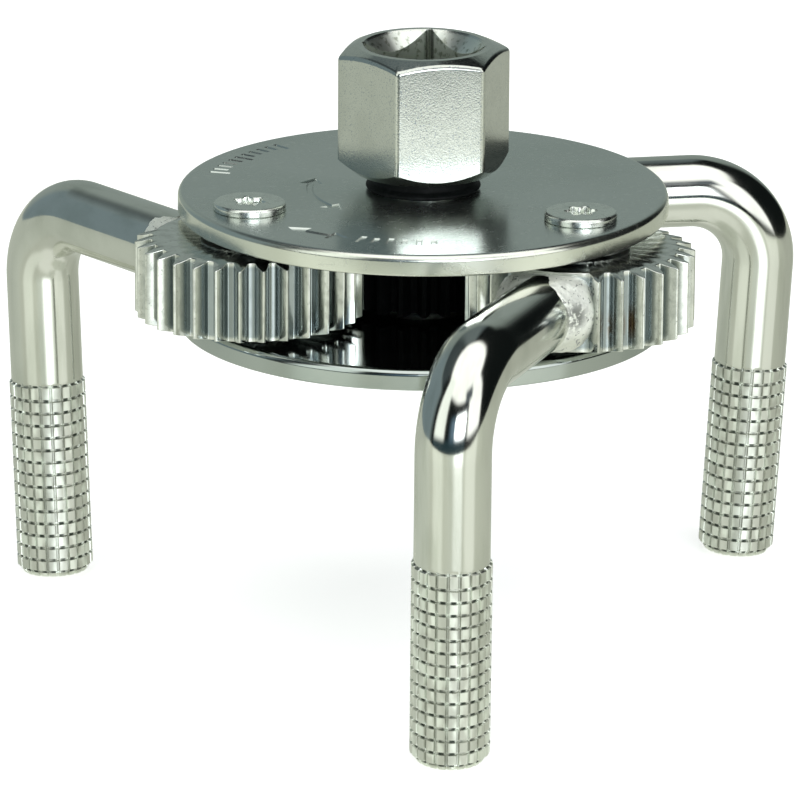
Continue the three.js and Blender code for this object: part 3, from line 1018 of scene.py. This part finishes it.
def build_rod(k, body, matrix):
    """One swept surface, with the painted shade of the knurl's grooves and the pads' tone in point attributes
    named for the groove and the pad.
    """
    stations, foot, inward, arm = rod_path(LEG_SIDE_LEAN[k - 1])
    binormal = arm.cross(inward).normalized()
    columns = [(c + part) / KNURL_COLUMNS for c in range(KNURL_COLUMNS) for part in COLUMN_STEPS]
    heights = [pad_height(part, COLUMN_STEPS) for _ in range(KNURL_COLUMNS) for part in COLUMN_STEPS]
    middles = [0.3 < part < 0.7 for _ in range(KNURL_COLUMNS) for part in COLUMN_STEPS]
    rings, groove, pad = [], [], []
    last = len(stations) - 1
    for index, (point, tangent, part) in enumerate(stations):
        outward = tangent.cross(binormal).normalized()
        ring = []
        for turn, high, middle in zip(columns, heights, middles):
            if part is None:
                radius, depth, on_pad = ROD_R, 0.0, 0.0
            else:
                seed = Vector((turn * 40, index * 0.8, k * 7.3))
                row_high = pad_height(part, ROW_STEPS)
                rise = min(high, row_high)
                crossing = (1 - high) * (1 - row_high)
                jitter = 0.05 * abs(noise.noise(seed))
                sunk = 0.02 + 0.2 * crossing + 0.03 * (1 - row_high)
                radius = ROD_R - sunk + (GRIP_R - ROD_R) * rise - jitter
                uneven = 0.5 + noise.noise(Vector((turn * 41, index * 0.21, k * 3.1)))
                # Painted shade for the grooves: strongest in dashes along the row grooves under the middle of
                # each pad, lighter where the column grooves cross; the value kept as depth is the strength of
                # this painted shade, not a depth.
                row_groove_shade = (0.5 + 0.7 * uneven) if middle else 0.4
                depth = min(1.0, row_groove_shade * (1 - row_high) + 0.55 * (1 - high) * row_high)
                on_pad = 0.3 + 1.25 * max(0.0, uneven - 0.3)
                if index > last - FOOT_TAPER_ROWS:
                    radius -= FOOT_TAPER * (index - last + FOOT_TAPER_ROWS)
            radius = min(radius, GRIP_R)
            a = turn * TURN
            offset = outward * (math.cos(a) * radius) + binormal * (math.sin(a) * radius)
            ring.append(tuple(point + offset))
            groove.append(depth)
            pad.append(on_pad)
        rings.append(ring)
    end = [tuple(foot + (Vector(p) - stations[-1][0]) * FOOT_SHRINK) for p in rings[-1]]
    rings.append(end)
    groove += [0.0] * len(end)
    pad += [1.0] * len(end)
    verts, faces = rings_mesh(rings, cap_start=True, cap_end=True)
    mesh = mesh_in_metres(f"leg_rod_{k}_body", verts, faces)
    for label, values in (("groove", groove), ("pad", pad)):
        held = mesh.attributes.new(label, "FLOAT", "POINT")
        held.data.foreach_set("value", values + [0.0] * (len(verts) - len(values)))
    turn_outwards(mesh)
    mesh.shade_smooth()
    mesh.set_sharp_from_angle(angle=rad(38))
    mesh.materials.append(ROD)
    rod = linked_object(f"leg_rod_{k}_body", mesh)
    return place(rod, body, [f"leg_rod_{k}"], matrix)


# (distance from the pivot, radius) along the bead, from inside the gear to the rod.
WELD_PROFILE = [
    (12.2, 7.3), (13.4, 7.45), (14.4, 7.45), (15.1, 7.35), (15.7, 7.12), (16.2, 6.82),
    (16.7, 6.5), (17.2, 6.18), (17.7, 5.92), (18.2, 5.72), (18.6, 5.5), (18.75, 5.3),
]
WELD_MARGIN = 0.1
WELD_END = 18.8
WELD_SHRINK = 0.045
SQUARENESS = 9


def build_weld(k, body, matrix):
    """The lump that fills the gear's height round the rod's end, rippled where it was laid down."""
    top = GEAR_TOP - WELD_MARGIN - ARM_Z
    bottom = ARM_Z - GEAR_BOTTOM - WELD_MARGIN
    rings = []
    for x, r in WELD_PROFILE:
        ring = []
        for a in even_angles(120):
            y, z = r * math.cos(a), r * math.sin(a)
            limit = top if z > 0 else bottom
            flat = abs(z) / limit
            if flat > 0:
                z = math.copysign(limit * flat / (1 + flat**SQUARENESS) ** (1 / SQUARENESS), z)
            else:
                z = 0.0
            seed = Vector((x * 0.55, y * 0.5, z * 0.5 + 11 * k))
            swell = 0.2 * noise.noise(seed) + 0.12 * noise.noise(seed * 2.7)
            swell += 0.06 * noise.noise(seed * 6.1)
            give = 1 + swell / r - WELD_SHRINK
            px = x + 0.25 * noise.noise(seed * 1.7)
            ring.append((min(px, WELD_END), y * give, ARM_Z + z * give))
        rings.append(ring)
    verts, faces = rings_mesh(rings, cap_start=True, cap_end=True)
    weld = new_piece(f"weld_bead_{k}_body", verts, faces, WELD, smooth_angle=50)
    return place(weld, body, [f"weld_bead_{k}"], matrix)


for k, (pivot, pivot_angle) in enumerate(zip(PIVOTS, PIVOT_ANGLES), 1):
    arm_angle = pivot_angle + ARM_TURNS[k - 1]
    mesh_angle = pivot_angle + math.pi - SUN_PHASE * SUN_TEETH / LEG_TEETH
    at = Matrix.Translation((pivot.x * MM, pivot.y * MM, 0)) @ Matrix.Rotation(arm_angle, 4, "Z")
    body = f"leg_{k}"
    phase = mesh_angle - arm_angle + TURN / LEG_TEETH / 2
    outline = gear_outline(LEG_TEETH, LEG_ROOT_R, LEG_TIP_R, phase, BARE_SECTOR)
    verts, faces = gear_mesh(
        outline, LEG_ROOT_R, LEG_TIP_R, LEG_BORE_R, GEAR_BOTTOM, GEAR_TOP, GEAR_CHAMFER
    )
    gear = new_piece(f"leg_gear_{k}_body", verts, faces, GEAR, bevel=0.13, bevel_angle=40)
    place(gear, body, [f"leg_gear_{k}"], at)
    build_rod(k, body, at)
    build_weld(k, body, at)
    for label, low in (("top", GEAR_TOP + SET_GAP), ("bottom", GEAR_BOTTOM - SET_GAP - THRUST_T)):
        ring_piece(
            f"washer_{label}_{k}_body",
            flat_ring(THRUST_BORE_R, THRUST_R, low, low + THRUST_T),
            WASHER, body, f"washer_{label}_{k}", at,
        )

# ---------------------------------------------------------------- camera

CAMERA_AT = Vector((-0.64748, -0.76677, 0.27220))
CAMERA_FORWARD = Vector((0.61393, 0.73165, -0.29628)).normalized()
CAMERA_LENS = 328.76
CAMERA_ROLL = rad(0.3434)

camera_data = bpy.data.cameras.new("camera")
camera_data.lens = CAMERA_LENS
camera_data.sensor_width = 36
camera_data.clip_start = 0.01
camera_data.clip_end = 50
camera = linked_object("camera", camera_data)
aim = CAMERA_FORWARD.to_track_quat("-Z", "Y").to_matrix().to_4x4()
camera.matrix_world = Matrix.Translation(CAMERA_AT) @ aim @ Matrix.Rotation(CAMERA_ROLL, 4, "Z")
bpy.context.scene.camera = camera

# ---------------------------------------------------------------- studio

FRONT = Vector((-CAMERA_FORWARD.x, -CAMERA_FORWARD.y, 0)).normalized()
RIGHT = Vector((-FRONT.y, FRONT.x, 0))
FLOOR_Z = cad_bounds[0][2] - 0.0001
STUDIO_TURN = math.atan2(RIGHT.y, RIGHT.x)  # studio azimuths run from the camera's right, anticlockwise


def sheet_on_floor(name, left, right, front, back, height, material):
    """A flat stage sheet, by its reach in metres from the drive axis."""
    reach = ((-left, front), (right, front), (right, -back), (-left, -back))
    corners = [RIGHT * x + FRONT * y for x, y in reach]
    mesh = bpy.data.meshes.new(name)
    mesh.from_pydata([(c.x, c.y, height) for c in corners], [], [(0, 1, 2, 3)])
    mesh.materials.append(material)
    keep_local(mesh)
    sheet = linked_object(name, mesh)
    return sheet


def stage_material(name, color, glow, glow_strength, roughness, specular):
    material = bpy.data.materials.new(name)
    material.use_nodes = True
    shader = material.node_tree.nodes["Principled BSDF"]
    shader.inputs["Base Color"].default_value = (*color, 1)
    shader.inputs["Roughness"].default_value = roughness
    shader.inputs["Specular IOR Level"].default_value = specular
    shader.inputs["Emission Color"].default_value = (*glow, 1)
    shader.inputs["Emission Strength"].default_value = glow_strength
    return material


# The wide floor makes the pale background, and the smaller glossy sheet is what the metal mirrors; it glows
# as a painted stand-in for the lit paper, brightest at the front like a pool of light.
pale_floor = stage_material("pale_floor", (0.9, 0.9, 0.9), (1, 1, 1), 0.62, 0.9, 0.0)
floor = sheet_on_floor("floor", 3, 3, 3, 3, FLOOR_Z, pale_floor)
floor.visible_glossy = False
glossy_paper = stage_material("glossy_paper", (0.0, 0.0, 0.0), (0.89, 0.94, 0.8), 1.0, 0.26, 0.0)
paper = sheet_on_floor("paper", 1.1, 1.1, 0.3, 1.1, FLOOR_Z, glossy_paper)
paper.visible_camera = False
paper.visible_diffuse = False
paper.visible_shadow = False


def fade_towards_back(material, near, far, bright, dim):
    """Dims the sheet's glow from its front edge to the back, by metres from the drive axis."""
    nodes, links = material.node_tree.nodes, material.node_tree.links
    place_on_sheet = nodes.new("ShaderNodeAttribute")
    place_on_sheet.attribute_name = "local"
    along = nodes.new("ShaderNodeVectorMath")
    along.operation = "DOT_PRODUCT"
    links.new(place_on_sheet.outputs["Vector"], along.inputs[0])
    along.inputs[1].default_value = FRONT
    level = nodes.new("ShaderNodeMapRange")
    for label, value in (("From Min", far), ("From Max", near), ("To Min", dim), ("To Max", bright)):
        level.inputs[label].default_value = value
    links.new(along.outputs["Value"], level.inputs["Value"])
    links.new(level.outputs["Result"], nodes["Principled BSDF"].inputs["Emission Strength"])


fade_towards_back(glossy_paper, 0.18, -0.08, 0.8, 0.54)


def add_sheen(material, share, roughness):
    """Adds a soft mirror image of the lamps, the same at every angle, to a sheet's glow."""
    nodes, links = material.node_tree.nodes, material.node_tree.links
    sheen = nodes.new("ShaderNodeBsdfGlossy")
    sheen.inputs["Color"].default_value = (share, share, share, 1)
    sheen.inputs["Roughness"].default_value = roughness
    both = nodes.new("ShaderNodeAddShader")
    links.new(nodes["Principled BSDF"].outputs["BSDF"], both.inputs[0])
    links.new(sheen.outputs["BSDF"], both.inputs[1])
    links.new(both.outputs["Shader"], nodes["Material Output"].inputs["Surface"])


add_sheen(glossy_paper, 0.22, 0.19)


class Studio:
    """The room round the object, as soft panels of light at an azimuth and elevation."""

    def __init__(self, level):
        self.world = bpy.data.worlds.new("studio")
        self.world.use_nodes = True
        self.nodes, self.links = self.world.node_tree.nodes, self.world.node_tree.links
        direction = self.nodes.new("ShaderNodeTexCoord").outputs["Generated"]
        turned = self.nodes.new("ShaderNodeMapping")
        turned.vector_type = "POINT"
        turned.inputs["Rotation"].default_value = (0, 0, -STUDIO_TURN)
        self.links.new(direction, turned.inputs["Vector"])
        self.direction = turned.outputs["Vector"]
        split = self.nodes.new("ShaderNodeSeparateXYZ")
        self.links.new(self.direction, split.inputs["Vector"])
        self.azimuth = self.math("ARCTAN2", split.outputs["Y"], split.outputs["X"])
        self.elevation = self.math("ARCSINE", split.outputs["Z"])
        self.color = (*level, 1)

    def math(self, operation, *values):
        node = self.nodes.new("ShaderNodeMath")
        node.operation = operation
        for socket, value in zip(node.inputs, values):
            if isinstance(value, bpy.types.NodeSocket):
                self.links.new(value, socket)
            else:
                socket.default_value = value
        return node.outputs["Value"]

    def falloff(self, distance, half, blur):
        node = self.nodes.new("ShaderNodeMapRange")
        node.interpolation_type = "SMOOTHSTEP"
        node.inputs["From Min"].default_value = half - blur / 2
        node.inputs["From Max"].default_value = half + blur / 2
        node.inputs["To Min"].default_value = 1
        node.inputs["To Max"].default_value = 0
        self.links.new(distance, node.inputs["Value"])
        return node.outputs["Result"]

    def over(self, mask, color):
        node = self.nodes.new("ShaderNodeMix")
        node.data_type = "RGBA"
        self.links.new(mask, node.inputs["Factor"])
        if isinstance(self.color, tuple):
            node.inputs["A"].default_value = self.color
        else:
            self.links.new(self.color, node.inputs["A"])
        node.inputs["B"].default_value = (*color, 1)
        self.color = node.outputs["Result"]

    def panel(self, azimuths, elevations, color, blur=(4, 4)):
        """A panel between two azimuths and two elevations, in degrees."""
        centre = rad(sum(azimuths) / 2)
        turned = self.math("WRAP", self.math("SUBTRACT", self.azimuth, centre), math.pi, -math.pi)
        away = self.math("ABSOLUTE", turned)
        wide = self.falloff(away, rad(abs(azimuths[1] - azimuths[0]) / 2), rad(blur[0]))
        level = self.math("ABSOLUTE", self.math("SUBTRACT", self.elevation, rad(sum(elevations) / 2)))
        high = self.falloff(level, rad(abs(elevations[1] - elevations[0]) / 2), rad(blur[1]))
        self.over(self.math("MULTIPLY", wide, high), color)

    def disc(self, azimuth, elevation, radius, color, blur=4):
        """A round panel about a direction."""
        a, e = rad(azimuth), rad(elevation)
        node = self.nodes.new("ShaderNodeVectorMath")
        node.operation = "DOT_PRODUCT"
        self.links.new(self.direction, node.inputs[0])
        node.inputs[1].default_value = (math.cos(e) * math.cos(a), math.cos(e) * math.sin(a), math.sin(e))
        self.over(self.falloff(self.math("ARCCOSINE", node.outputs["Value"]), rad(radius), rad(blur)), color)

    def done(self):
        self.links.new(self.color, self.nodes["Background"].inputs["Color"])
        bpy.context.scene.world = self.world


studio = Studio((0.006, 0.008, 0.008))
studio.panel((205, 300), (-30, 3), (0.025, 0.05, 0.06), (6, 8))
studio.panel((80, 190), (20, 68), (0.055, 0.07, 0.075), (20, 14))
studio.panel((78, 116), (20, 70), (0.16, 0.195, 0.2), (16, 14))
studio.panel((62, 190), (-30, 39), (0.285, 0.335, 0.315), (20, 8))
studio.panel((128, 192), (-30, 39), (0.2, 0.26, 0.28), (20, 8))
studio.panel((254, 276), (2, 24), (0.14, 0.22, 0.29), (16, 12))
studio.panel((272, 298), (4, 24), (6.6, 6.95, 7.2), (12, 10))
studio.disc(292, 72, 36, (1.5, 1.52, 1.48), 7)
studio.panel((207, 239), (3, 62), (1.25, 1.32, 1.24), (7, 8))
studio.panel((306, 340), (0, 62), (1.5, 1.53, 1.5), (6, 6))
studio.panel((293, 315), (33, 46), (0.1, 0.12, 0.14), (8, 9))
studio.done()
bpy.context.scene.view_settings.view_transform = "Standard"
